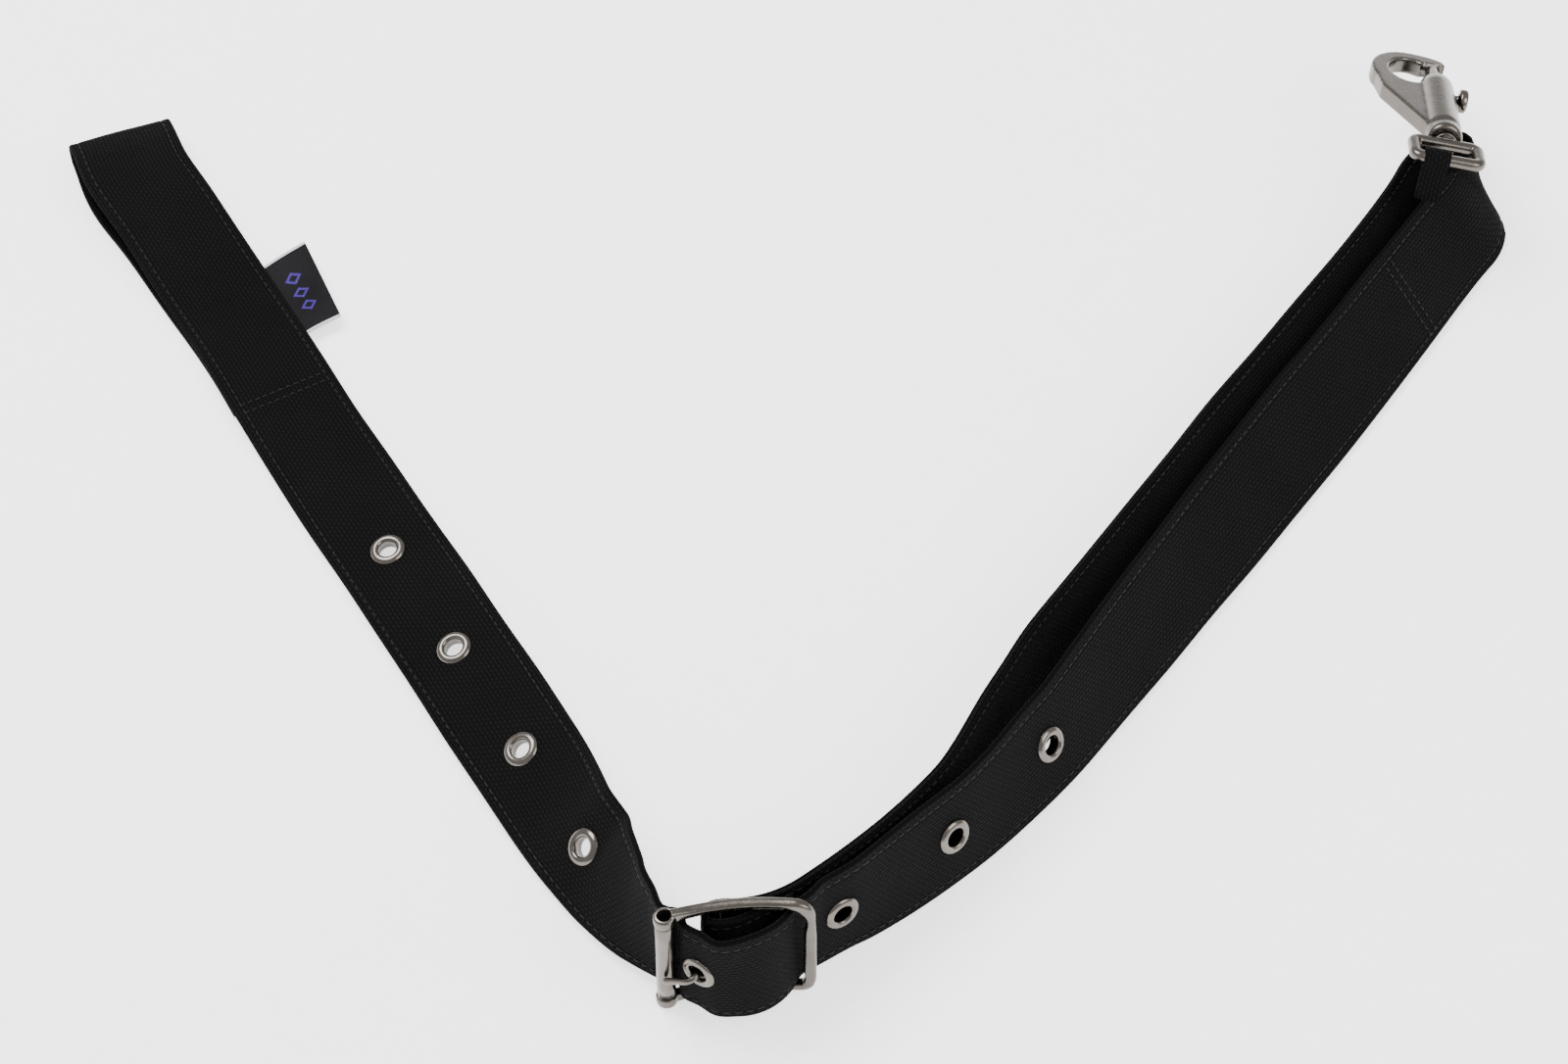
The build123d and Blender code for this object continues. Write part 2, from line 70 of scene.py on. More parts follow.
CENTRE_BAR_R = 1.9
TONGUE_R = 1.05
TONGUE_DROP = 6.0  # the tip lies this much lower on the roller than the eyelet's middle

SNAP_AT = Vector((249.2, 347.8, 40.8))
SNAP_TOWARDS = Vector((0.052, 0.940, -0.330))
SNAP_ROLL = 9.0
# Snap sizes in its own plane: x to the knob, y to the head
BARREL_LOW, BARREL_HIGH, BARREL_R = -8.0, 38.0, 6.6
HOOK_T = 6.2
RING_AT, RING_RADII = (-9.3, 42.2), (7.9, 9.6)
MOUTH = [(-4.7, 38.2), (9.0, 38.2), (9.0, 51.6), (-3.6, 51.6), (-4.7, 50.6)]
BORE_LOW, BORE_R, SOCKET_R = 5.0, 3.02, 3.12
SLOT_LOW, SLOT_HIGH, SLOT_R = 17.4, 30.1, 1.95
KNOB_Y = 29.5
CUT_DEEP = 30.0  # a cutter's thickness, more than any part of the snap
EYE_W, EYE_LENGTH, EYE_WIRE = 27.0, 17.0, 4.0
KEEPER_X, KEEPER_W, KEEPER_T, KEEPER_R = -4.0, 9.0, 1.1, 3.12
KEEPER_DROP = 262.0  # the tail's direction across the eye's far bar, in degrees

# Routes: x, y, lift of the lower edge, tilt of the width, and at an eyelet the heading
GIRTH_ARM = [
    (-244.0, 369.0, 8.6, 0),
    (-234.6, 345.5, 11.0, 0),
    (-223.0, 328.0, 9.6, 0),
    (-212.0, 310.0, 6.0, 0),
    (-201.0, 292.5, 2.8, 0),
    (-187.5, 269.5, 2.8, 0),
    (-176.0, 248.0, 2.8, 1),
    (-166.0, 230.0, 0.6, 3),
    (-152.5, 206.5, 0.0, 6),
    (-134.5, 174.6, 0.0, 10, -60.0),
    (-109.3, 130.9, 0.0, 17, -60.0),
    (-84.0, 87.4, 0.0, 27, -59.5),
    (-69.0, 62.6, 0.0, 38),
    (-58.4, 46.0, 0.6, 46, -55.5),
    (-48.5, 32.6, 1.4, 56),
    (-42.0, 25.4, 2.0, 63),
    (-37.4, 21.4, 2.4, 69),
]
MAIN_STRAP = [
    (-35.2, 19.8, 2.6, 72),
    (-28.4, 15.2, 3.4, 81),
    (-21.6, 11.5, RAISE, 90),
    (-16.6, 10.2, RAISE, 90),
    (-10.6, 1.4, RAISE, 89, -34.8),
    (-0.5, -2.6, RAISE, 88),
    (5.5, -1.9, RAISE, 86),
    (10.5, 0.4, RAISE, 86),
    (14.9, 4.4, RAISE, 87),
    (17.8, 8.9, RAISE, 88),
    (19.6, 13.2, RAISE, 89),
    (23.2, 16.4, 3.9, 89),
    (33.6, 22.4, 3.4, 84, 32.5),
    (47.0, 31.4, 2.0, 80),
    (58.0, 40.2, 1.0, 77),
    (71.5, 51.8, 0.3, 75, 41.5),
    (85.0, 64.8, 0.0, 73),
    (95.0, 75.6, 0.0, 70),
    (105.6, 87.6, 0.0, 67, 49.5),
    (118.0, 103.4, 0.0, 64),
    (134.8, 126.6, 0.0, 59),
    (156.0, 155.6, 0.0, 53),
    (178.0, 186.8, 0.0, 48),
    (200.5, 218.8, 0.0, 45),
    (223.5, 252.4, 0.0, 46),
    (244.0, 283.2, 0.0, 48),
    (260.5, 309.4, 0.0, 50),
    (273.0, 330.2, 0.0, 51),
]
# Floor distance from the front layer to the back one, from the fold back to the buckle
LAYER_GAPS = [
    13.6, 13.6, 13.4, 13.2, 13.2, 13.6, 14.4, 15.6, 16.4, 15.4, 14.5, 13.6, 12.4, 9.6, 7.8, 7.0, 6.2, 5.4,
]
# The strap's end inside the buckle: across and behind, to the bar, and on from it
CHAPE_IN = [(26.0, 15.6), (18.5, 10.6), (11.0, 7.6), (2.0, CENTRE_D + CHAPE_R)]
CHAPE_OUT = [(0.0, CENTRE_D - 3.1), (7.5, 3.0), (12.5, 4.6), (18.5, 7.0)]

WEBBING = [
    "girth_arm_end", "girth_arm", "girth_loop", "strap_through_buckle", "front_layer",
    "snap_fold", "back_layer", "back_layer_end", "buckle_chape",
]


# ---------------------------------------------------------------- nodes and materials


class Nodes:
    """A small helper for writing a material's nodes by hand."""

    def __init__(self, name):
        self.material = bpy.data.materials.new(name)
        self.material.use_nodes = True
        self.tree = self.material.node_tree
        self.shader = self.tree.nodes["Principled BSDF"]

    def add(self, kind, inputs=None, **settings):
        node = self.tree.nodes.new(kind)
        for key, value in settings.items():
            setattr(node, key, value)
        for key, value in (inputs or {}).items():
            self.feed(node.inputs[key], value)
        return node

    def feed(self, socket, value):
        if isinstance(value, bpy.types.NodeSocket):
            self.tree.links.new(value, socket)
        else:
            socket.default_value = value

    def maths(self, operation, a, b=0.0):
        node = self.add("ShaderNodeMath", {0: a, 1: b}, operation=operation)
        return node.outputs[0]

    def noise(self, scale, detail=3.0, where=None, roughness=0.5):
        inputs = {"Scale": scale, "Detail": detail, "Roughness": roughness}
        inputs["Vector"] = where or self.place()
        return self.add("ShaderNodeTexNoise", inputs).outputs["Fac"]

    def place(self):
        return self.add("ShaderNodeTexCoord").outputs["Object"]

    def ramp(self, value, stops):
        node = self.add("ShaderNodeValToRGB", {"Fac": value})
        elements = node.color_ramp.elements
        while len(elements) < len(stops):
            elements.new(0.5)
        for element, (at, colour) in zip(elements, stops):
            element.position = at
            element.color = (*colour, 1.0)
        return node.outputs["Color"]

    def spread(self, value, low, high, to_low, to_high):
        inputs = {0: value, 1: low, 2: high, 3: to_low, 4: to_high}
        return self.add("ShaderNodeMapRange", inputs).outputs[0]

    def bump(self, height, strength, distance, normal=None):
        inputs = {"Height": height, "Strength": strength, "Distance": distance}
        if normal is not None:
            inputs["Normal"] = normal
        return self.add("ShaderNodeBump", inputs).outputs["Normal"]

    def set(self, **inputs):
        for key, value in inputs.items():
            self.feed(self.shader.inputs[key.replace("_", " ")], value)
        return self.material


WEAVE_RIB, WEAVE_PICK = 0.0135, 0.021  # widths in the strap's own map, which counts decimetres


def woven(nodes, rib, pick):
    """The height of an over-and-under weave: ribs along the strap, picks across it."""
    at = nodes.add("ShaderNodeUVMap", uv_map="strap")
    split = nodes.add("ShaderNodeSeparateXYZ", {0: at.outputs[0]})
    along = nodes.maths("DIVIDE", split.outputs[0], pick)
    across = nodes.maths("DIVIDE", split.outputs[1], rib)
    parity = nodes.maths("MODULO", nodes.maths("FLOOR", across), 2.0)
    shifted = nodes.maths("ADD", along, nodes.maths("MULTIPLY", parity, 0.5))
    over = nodes.maths("SINE", nodes.maths("MULTIPLY", shifted, 2 * pi))
    crown = nodes.maths("ABSOLUTE", nodes.maths("SINE", nodes.maths("MULTIPLY", across, pi)))
    lift = nodes.spread(over, -1.0, 1.0, 0.45, 1.0)
    return nodes.maths("MULTIPLY", crown, lift)


def webbing_material():
    nodes = Nodes("black_webbing")
    weave = woven(nodes, WEAVE_RIB, WEAVE_PICK)
    cloudy = nodes.noise(38.0, 4.0)
    fuzz = nodes.noise(5200.0, 2.0)
    tone = nodes.maths("ADD", nodes.maths("MULTIPLY", weave, 0.62), nodes.maths("MULTIPLY", cloudy, 0.38))
    blacks = [
        (0.1, (0.0010, 0.0010, 0.0011)), (0.62, (0.0036, 0.0035, 0.0036)), (1.0, (0.0080, 0.0078, 0.0079)),
    ]
    cloth = nodes.ramp(tone, blacks)
    lint = nodes.spread(nodes.noise(1500.0, 5.0, roughness=0.75), 0.66, 0.72, 0.0, 0.6)
    grey = nodes.ramp(fuzz, [(0.3, (0.010, 0.0098, 0.0095)), (0.7, (0.030, 0.029, 0.028))])
    colour = nodes.add("ShaderNodeMix", {0: lint, 6: cloth, 7: grey}, data_type="RGBA").outputs[2]
    fine = nodes.bump(fuzz, 0.25, 0.0002)
    normal = nodes.bump(weave, 0.75, 0.00032, fine)
    rough = nodes.spread(weave, 0.0, 1.0, 0.96, 0.78)
    return nodes.set(
        Base_Color=colour, Roughness=rough, Normal=normal, Specular_IOR_Level=0.07,
    )


def thread_material():
    nodes = Nodes("black_thread")
    twist = nodes.add("ShaderNodeTexWave", {"Scale": 900.0, "Distortion": 2.0, "Vector": nodes.place()})
    blacks = [(0.0, (0.004, 0.004, 0.004)), (1.0, (0.015, 0.0148, 0.0145))]
    colour = nodes.ramp(twist.outputs["Fac"], blacks)
    normal = nodes.bump(twist.outputs["Fac"], 0.5, 0.0001)
    return nodes.set(Base_Color=colour, Roughness=0.6, Normal=normal, Specular_IOR_Level=0.2)


def nickel_material(name, tone=1.0, rough=0.24):
    """Nickel plate on a casting: warm grey, slightly uneven, with fine rubbing marks."""
    nodes = Nodes(name)
    mottle = nodes.noise(130.0, 5.0, roughness=0.6)
    grain = nodes.noise(2600.0, 3.0)
    rubbed = nodes.noise(520.0, 6.0, roughness=0.7)
    low, high = (tone * c for c in (0.105, 0.093, 0.082)), (tone * c for c in (0.132, 0.119, 0.106))
    colour = nodes.ramp(mottle, [(0.3, tuple(low)), (0.7, tuple(high))])
    shine = nodes.spread(rubbed, 0.3, 0.75, rough - 0.05, rough + 0.09)
    soft = nodes.bump(mottle, 0.05, 0.0006)
    normal = nodes.bump(grain, 0.04, 0.00006, soft)
    return nodes.set(Base_Color=colour, Metallic=1.0, Roughness=shine, Normal=normal)


def label_material():
    """A woven satin tag with a plain row of violet diamonds."""
    nodes = Nodes("label_satin")
    at = nodes.add("ShaderNodeUVMap", uv_map="strap")
    split = nodes.add("ShaderNodeSeparateXYZ", {0: at.outputs[0]})
    u, v = split.outputs[0], split.outputs[1]
    cell = nodes.maths("SUBTRACT", nodes.maths("FRACT", nodes.maths("MULTIPLY", u, 5.0)), 0.5)
    reach = nodes.maths("MULTIPLY", nodes.maths("ABSOLUTE", cell), 0.5)
    height = nodes.maths("ABSOLUTE", nodes.maths("SUBTRACT", v, 0.5))
    diamond = nodes.maths("LESS_THAN", nodes.maths("ADD", reach, height), 0.19)
    hollow = nodes.maths("GREATER_THAN", nodes.maths("ADD", reach, height), 0.105)
    inside = nodes.maths("MULTIPLY", nodes.maths("GREATER_THAN", u, 0.2), nodes.maths("LESS_THAN", u, 0.8))
    motif = nodes.maths("MULTIPLY", nodes.maths("MULTIPLY", diamond, hollow), inside)
    thread = nodes.noise(2400.0, 2.0)
    dark = nodes.ramp(thread, [(0.3, (0.0030, 0.0028, 0.0036)), (0.7, (0.0070, 0.0064, 0.0082))])
    violet = nodes.ramp(thread, [(0.3, (0.030, 0.014, 0.13)), (0.7, (0.065, 0.035, 0.26))])
    mix = nodes.add("ShaderNodeMix", {0: motif, 6: dark, 7: violet}, data_type="RGBA")
    lines = nodes.maths("SINE", nodes.maths("MULTIPLY", v, 2 * pi * 55))
    normal = nodes.bump(nodes.maths("ADD", lines, thread), 0.35, 0.00008)
    return nodes.set(Base_Color=mix.outputs[2], Roughness=0.5, Normal=normal, Specular_IOR_Level=0.09)


def painted_highlight_material():
    nodes = Nodes("label_end_painted_highlight")
    # Pale grey painted on the label's ends as a highlight, with a fine noisy grain
    highlight_noise = nodes.noise(3000.0, 3.0)
    colour = nodes.ramp(highlight_noise, [(0.3, (0.42, 0.42, 0.44)), (0.7, (0.78, 0.78, 0.80))])
    return nodes.set(Base_Color=colour, Roughness=0.8, Normal=nodes.bump(highlight_noise, 0.5, 0.0002))


def floor_material():
    nodes = Nodes("pale_floor")
    grain = nodes.noise(60.0, 2.0)
    colour = nodes.ramp(grain, [(0.0, (0.90, 0.90, 0.90)), (1.0, (0.93, 0.93, 0.93))])
    return nodes.set(Base_Color=colour, Roughness=0.7, Emission_Color=colour, Emission_Strength=1.8)


# ---------------------------------------------------------------- meshes


def make_piece(name, points, faces, material, uvs=None):
    """A mesh object from points in millimetres; uvs holds one pair for each point."""
    mesh = bpy.data.meshes.new(name)
    mesh.from_pydata([tuple(MM * c for c in p) for p in points], [], faces)
    mesh.materials.append(material)
    if uvs is not None:
        layer = mesh.uv_layers.new(name="strap")
        for loop in mesh.loops:
            layer.data[loop.index].uv = uvs[loop.vertex_index]
    mesh.polygons.foreach_set("use_smooth", [True] * len(mesh.polygons))
    piece = bpy.data.objects.new(name, mesh)
    bpy.context.scene.collection.objects.link(piece)
    bm = bmesh.new()
    bm.from_mesh(mesh)
    bmesh.ops.recalc_face_normals(bm, faces=bm.faces)
    bm.to_mesh(mesh)
    bm.free()
    return piece


def apply_modifiers(piece):
    """Puts the modifiers' result into the piece's own mesh."""
    shown = piece.evaluated_get(bpy.context.evaluated_depsgraph_get())
    mesh = bpy.data.meshes.new_from_object(shown)
    piece.modifiers.clear()
    old = piece.data
    piece.data = mesh
    mesh.name = piece.name
    bpy.data.meshes.remove(old)
    return piece


def cut(piece, cutters):
    """Cuts each cutter out of the piece and removes the cutter."""
    for cutter in cutters:
        boolean = piece.modifiers.new("cut", "BOOLEAN")
        boolean.object = cutter
        boolean.operation = "DIFFERENCE"
        boolean.solver = "EXACT"
        boolean.material_mode = "TRANSFER"
    bpy.context.view_layer.update()
    apply_modifiers(piece)
    for cutter in cutters:
        bpy.data.objects.remove(cutter)


def tube_faces(rings, around, closed=False, caps=True):
    """The faces of a tube whose points run round each ring in turn."""
    faces = []
    for i in range(rings if closed else rings - 1):
        a, b = i * around, (i + 1) % rings * around
        for k in range(around):
            n = (k + 1) % around
            faces.append((a + k, a + n, b + n, b + k))
    if caps and not closed:
        faces.append(tuple(range(around))[::-1])
        faces.append(tuple(range((rings - 1) * around, rings * around)))
    return faces


def spun(name, origin, axis, profile, material, steps=40, closed=True):
    """A profile of (radius, height) pairs turned round an axis. Open profiles start and end on it."""
    axis = axis.normalized()
    side = axis.orthogonal().normalized()
    other = axis.cross(side)
    points = []
    for radius, height in profile:
        for k in range(steps):
            turn = 2 * pi * k / steps
            points.append(origin + axis * height + (side * cos(turn) + other * sin(turn)) * radius)
    return make_piece(name, points, tube_faces(len(profile), steps, closed), material)


def swept(name, centres, sides, ups, widths, depths, material, around=16, power=2.0, closed=False):
    """A bar of changing super-elliptical section, wide along sides and deep along ups."""
    points, uvs, reach, last = [], [], 0.0, centres[0]
    for centre, side, up, width, depth in zip(centres, sides, ups, widths, depths):
        reach += (centre - last).length
        last = centre
        for k in range(around):
            turn = 2 * pi * k / around
            c, s = cos(turn), sin(turn)
            x = abs(c) ** (2 / power) * (1 if c >= 0 else -1)
            y = abs(s) ** (2 / power) * (1 if s >= 0 else -1)
            points.append(centre + side * (x * width / 2) + up * (y * depth / 2))
            uvs.append((reach / 100, x * width / 200))
    return make_piece(name, points, tube_faces(len(centres), around, closed), material, uvs)


def cylinder(name, start, end, radius, material, steps=40):
    """A plain round bar between two points."""
    axis = end - start
    return spun(name, start, axis, [(radius, 0.0), (radius, axis.length)], material, steps, closed=False)


# ---------------------------------------------------------------- the strap's course


def heading(angle):
    return Vector((cos(radians(angle)), sin(radians(angle)), 0.0))


def section(x, y, lift, tilt, travel):
    """Middle, width direction, travel, inward direction and tilt of one cut across the strap."""
    inward = Vector((-travel.y, travel.x, 0.0))
    across = inward * cos(radians(tilt)) + UP * sin(radians(tilt))
    edge = Vector((x, y, lift + STRAP_T / 2 * cos(radians(tilt)))) - MIDDLE
    return {
        "middle": edge + across * (STRAP_W / 2), "across": across, "travel": travel,
        "inward": inward, "tilt": tilt,
    }


def read_route(route):
    """The sections along a route, and those at the middle of its eyelets."""
    stops, eyelets = [], []
    for stop in route:
        if len(stop) == 4:
            stops.append(stop)
            continue
        x, y, lift, tilt, angle = stop
        ahead = heading(angle)
        for k in (-FLAT_HALF, 0.0, FLAT_HALF):
            stops.append((x + k * ahead.x, y + k * ahead.y, lift, tilt))
        eyelets.append(section(x, y, lift, tilt, ahead))
    sections = []
    for i, stop in enumerate(stops):
        last, following = stops[max(i - 1, 0)], stops[min(i + 1, len(stops) - 1)]
        travel = Vector((following[0] - last[0], following[1] - last[1], 0.0)).normalized()
        sections.append(section(*stop, travel))
    return sections, eyelets


def girth_underside(arm):
    """The end of the strap under the arm, and the half turn up to its top."""
    points = []
    for cut_here in reversed(arm[:7]):
        lower = cut_here["middle"].copy()
        lower.z = STRAP_T / 2
        points.append((lower, cut_here["across"]))
    first = arm[0]
    radius = (first["middle"].z - STRAP_T / 2) / 2
    for angle in (-60, -30, 0, 30, 60):
        out = first["travel"] * (-radius * cos(radians(angle)))
        drop = UP * (radius * (sin(radians(angle)) - 1))
        points.append((first["middle"] + out + drop, first["across"]))
    return points


def snap_fold(last):
    """The half turn of strap that the snap hangs in."""
    normal = last["travel"].cross(last["across"])
    half = last["inward"] * (TUNNEL_GAP / 2)
    radius = TUNNEL_GAP / 2 * sin(radians(last["tilt"]))
    slide = TUNNEL_GAP / 2 * cos(radians(last["tilt"]))
    points = []
    for angle in (60, 30, 0, -30, -60):
        c, s = cos(radians(angle)), sin(radians(angle))
        shift = half + last["travel"] * (radius * c) + normal * (radius * s)
        points.append((last["middle"] + shift - last["across"] * (slide * s), last["across"]))
    return points


def buckle_point(a, d, z):
    """A point measured along the buckle, behind it and up."""
    along, back = heading(BUCKLE_TURN), heading(BUCKLE_TURN + 90)
    return BUCKLE_AT - MIDDLE + along * a + back * d + UP * z


def chape():
    """The strap's end: in behind the strap, round the centre bar, and on beside itself."""
    plan = list(CHAPE_IN)
    for angle in range(90, 271, 30):
        turn = radians(angle)
        plan.append((CENTRE_BAR_A + CHAPE_R * cos(turn), CENTRE_D + CHAPE_R * sin(turn)))
    plan += CHAPE_OUT
    return [(buckle_point(a, d, RAISE + STRAP_W / 2), UP) for a, d in plan]


def strap_course():
    """Every middle point and width direction, from the girth loop's end to the sewn end."""
    arm, arm_eyelets = read_route(GIRTH_ARM)
    main, main_eyelets = read_route(MAIN_STRAP)
    course = girth_underside(arm)
    course += [(s["middle"], s["across"]) for s in arm + main]
    course += snap_fold(main[-1])
    for s, gap in zip(reversed(main), LAYER_GAPS):
        course.append((s["middle"] + s["inward"] * gap, s["across"]))
    return course + chape(), arm_eyelets + main_eyelets, arm, main


class Strap:
    """A smooth course through the listed sections, read by its length in millimetres."""

    def __init__(self, course, step=1.6):
        points = np.array([p for p, _ in course], float)
        across = np.array([a for _, a in course], float)
        values = np.hstack([points, across])
        knots = np.concatenate([[0], np.cumsum(np.linalg.norm(np.diff(points, axis=0), axis=1))])
        fine = np.arange(0.0, knots[-1], step)
        path = self.even(self.hermite(knots, values, fine), step)
        self.middle = path[:, :3]
        length = np.linalg.norm(np.diff(self.middle, axis=0), axis=1)
        self.s = np.concatenate([[0], np.cumsum(length)])
        self.travel = np.gradient(self.middle, self.s, axis=0)
        self.travel /= np.linalg.norm(self.travel, axis=1)[:, None]
        across = path[:, 3:]
        across -= self.travel * np.sum(across * self.travel, axis=1)[:, None]
        self.across = across / np.linalg.norm(across, axis=1)[:, None]
        self.out = np.cross(self.travel, self.across)
        reach = STRAP_W / 2 * np.abs(self.across[:, 2]) + STRAP_T / 2 * np.abs(self.out[:, 2])
        self.middle[:, 2] += np.maximum(0.0, reach - self.middle[:, 2])
        self.length = self.s[-1]

    @staticmethod
    def even(path, step, spread=9.0):
        """Evens out small jogs where the course runs nearly straight, and leaves the folds alone."""
        reach = int(3 * spread / step)
        weights = np.exp(-0.5 * (np.arange(-reach, reach + 1) * step / spread) ** 2)
        weights /= weights.sum()
        padded = np.pad(path, ((reach, reach), (0, 0)), mode="edge")
        calm = np.stack([np.convolve(padded[:, k], weights, "valid") for k in range(path.shape[1])], axis=1)
        moved = np.linalg.norm((calm - path)[:, :3], axis=1)
        share = np.clip(1.0 - moved / 2.0, 0.0, 1.0)
        share = np.convolve(np.pad(share, reach, mode="constant"), weights, "valid")
        share = np.clip(2.0 * share - 1.0, 0.0, 1.0)[:, None]
        return path * (1 - share) + calm * share

    @staticmethod
    def hermite(knots, values, where):
        """A smooth curve through the values at the knots, read at the places asked for."""
        gaps = np.diff(knots)[:, None]
        slopes = np.diff(values, axis=0) / gaps
        inner = (slopes[:-1] * gaps[1:] + slopes[1:] * gaps[:-1]) / (gaps[:-1] + gaps[1:])
        tangents = np.vstack([slopes[:1], inner, slopes[-1:]])
        i = np.clip(np.searchsorted(knots, where, side="right") - 1, 0, len(gaps) - 1)
        h = gaps[i]
        t = ((where - knots[i])[:, None]) / h
        a, b = values[i], values[i + 1]
        p, q = tangents[i] * h, tangents[i + 1] * h
        return (
            (2 * t**3 - 3 * t**2 + 1) * a + (t**3 - 2 * t**2 + t) * p
            + (3 * t**2 - 2 * t**3) * b + (t**3 - t**2) * q
        )

    def at(self, s):
        """Middle, width direction, outward direction and travel at a length along the strap."""
        parts = []
        for array in (self.middle, self.across, self.out, self.travel):
            parts.append(Vector([np.interp(s, self.s, array[:, k]) for k in range(3)]))
        return parts

    def nearest(self, point, first=0.0):
        """The length at which the strap passes closest to a point, counted from first on."""
        distance = np.linalg.norm(self.middle - np.array(point), axis=1)
        distance[self.s < first] = np.inf
        return float(self.s[int(np.argmin(distance))])

    def surface(self, s, v, face):
        """A point on one face of the strap, and the direction out of that face."""
        middle, across, out, _ = self.at(s)
        return middle + across * v + out * (face * face_height(v)), out * face


ROW_V = 15.9  # the stitch rows, from the strap's middle line
FOLD_PUFF = 4.5  # how far the cloth at the snap's fold swells out
FOLD_REACH = 11.0  # and how far along the strap the swelling runs


def face_height(v):
    """Half the strap's thickness: pulled in along the stitch rows, soft at the edges."""
    dip = 0.20 * np.exp(-(((abs(v) - ROW_V) / 0.85) ** 2))
    return 1.22 - dip - 0.06 * (abs(v) > 17.4)


LANES = [0.8, 3.0, 5.5, 8.0, 10.5, 12.8, 14.2, 15.0, 15.5, 15.9, 16.3, 16.8, 17.5, 18.2]
EDGE = [(18.62, 1.04), (18.93, 0.82), (19.0, 0.52), (18.86, 0.2), (18.55, 0.0)]


def strap_profile():
    """The outline of two plies sewn face to face, with a groove between them at each edge."""
    right = EDGE + [(v, -h) for v, h in reversed(EDGE[:-1])]
    lanes = [-v for v in reversed(LANES)] + LANES
    front = [(v, float(face_height(v))) for v in lanes]
    back = [(v, -h) for v, h in reversed(front)]
    left = [(-v, -h) for v, h in right]
    return front + right + back + left


def make_strap(strap, fold, material):
    """The whole strap as one strip, uneven along its length, and puffed out at the snap's fold."""
    profile = strap_profile()
    fold_at, ahead = strap.nearest(fold[0]), fold[1]
    points, uvs = [], []
    for i, s in enumerate(strap.s):
        wide = 1 + 0.006 * sin(s / 23.0) + 0.005 * sin(s / 9.1 + 2.0)
        wander = 0.18 * sin(s / 31.0 + 1.0) + 0.10 * sin(s / 11.7)
        for v, h in profile:
            swell = 0.07 * sin(s / 17.0 + v / 6.0) + 0.05 * sin(s / 7.3 - v / 4.1)
            place = strap.middle[i] + strap.across[i] * (v * wide + wander) + strap.out[i] * (h + swell)
            puff = FOLD_PUFF * np.exp(-(((s - fold_at) / FOLD_REACH) ** 2)) * max(0.0, 1 - (v / 19.5) ** 2)
            place += ahead * puff
            points.append(place)
            uvs.append((s / 100, (v + (60 if h < 0 else 0)) / 100))
    return make_piece("strap_webbing", points, tube_faces(len(strap.s), len(profile)), material, uvs)


# One stitch: share of its length, thickness there, and height above the cloth
STITCH = [
    (0.0, 0.30, -0.32), (0.12, 0.85, -0.04), (0.32, 1.0, 0.12),
    (0.68, 1.0, 0.12), (0.88, 0.85, -0.04), (1.0, 0.30, -0.32),
]
BAR_APART = 3.6  # between the two rows of a seam sewn across the strap


class Threads:
    """Gathers stitches, each a short thread that rises from the cloth and dives back."""

    def __init__(self, radius=0.27, around=6):
        self.points, self.faces = [], []
        self.radius, self.around = radius, around

    def stitch(self, start, end, out):
        side = (end - start).cross(out).normalized()
        first = len(self.points)
        for share, girth, height in STITCH:
            centre = start.lerp(end, share) + out * height
            for k in range(self.around):
                turn = 2 * pi * k / self.around
                ring = side * cos(turn) + out * sin(turn)
                self.points.append(centre + ring * (self.radius * girth))
        for face in tube_faces(len(STITCH), self.around):
            self.faces.append(tuple(first + k for k in face))

    def row(self, strap, v, face, first, last, pitch=3.4, length=2.75):
        s = first
        while s + length < last:
            start, out = strap.surface(s, v, face)
            end, _ = strap.surface(s + length, v, face)
            self.stitch(start, end, out)
            s += pitch

    def bar(self, strap, s, face, low=-16.5, high=16.5, pitch=2.9, length=2.3):
        v = low
        while v + length <= high:
            start, out = strap.surface(s, v, face)
            end, _ = strap.surface(s, v + length, face)
            self.stitch(start, end, out)
            v += pitch

    def piece(self, name, material):
        return make_piece(name, self.points, self.faces, material)


# ---------------------------------------------------------------- hardware


EYELET_CUT_R = 3.66  # the hole in the cloth
# The eyelet's and the washer's sections: radius, and height above the cloth's middle
EYELET_PROFILE = [
    (3.18, -1.7), (3.18, 1.55), (3.35, 2.0), (3.75, 2.34), (4.3, 2.46), (4.9, 2.38), (5.5, 2.08),
    (5.95, 1.68), (6.2, 1.26), (6.05, 1.16), (3.62, 1.16), (3.62, -1.7),
]
WASHER_PROFILE = [
    (3.3, -1.95), (3.66, -2.12), (4.3, -2.1), (5.0, -1.98), (5.5, -1.75), (5.8, -1.45),
    (5.74, -1.22), (3.66, -1.22), (3.3, -1.7),
]


def make_eyelet(number, place, body, material):
    """The rolled eyelet and the washer behind it, set square to the strap."""
    axis = place["travel"].cross(place["across"])
    ring = spun(f"eyelet_{number}_rolled", place["middle"], axis, EYELET_PROFILE, material)
    washer = spun(f"eyelet_{number}_back", place["middle"], axis, WASHER_PROFILE, material)
    for piece, node in ((ring, f"eyelet_{number}"), (washer, f"eyelet_washer_{number}")):
        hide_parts(node)
        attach(piece, body)


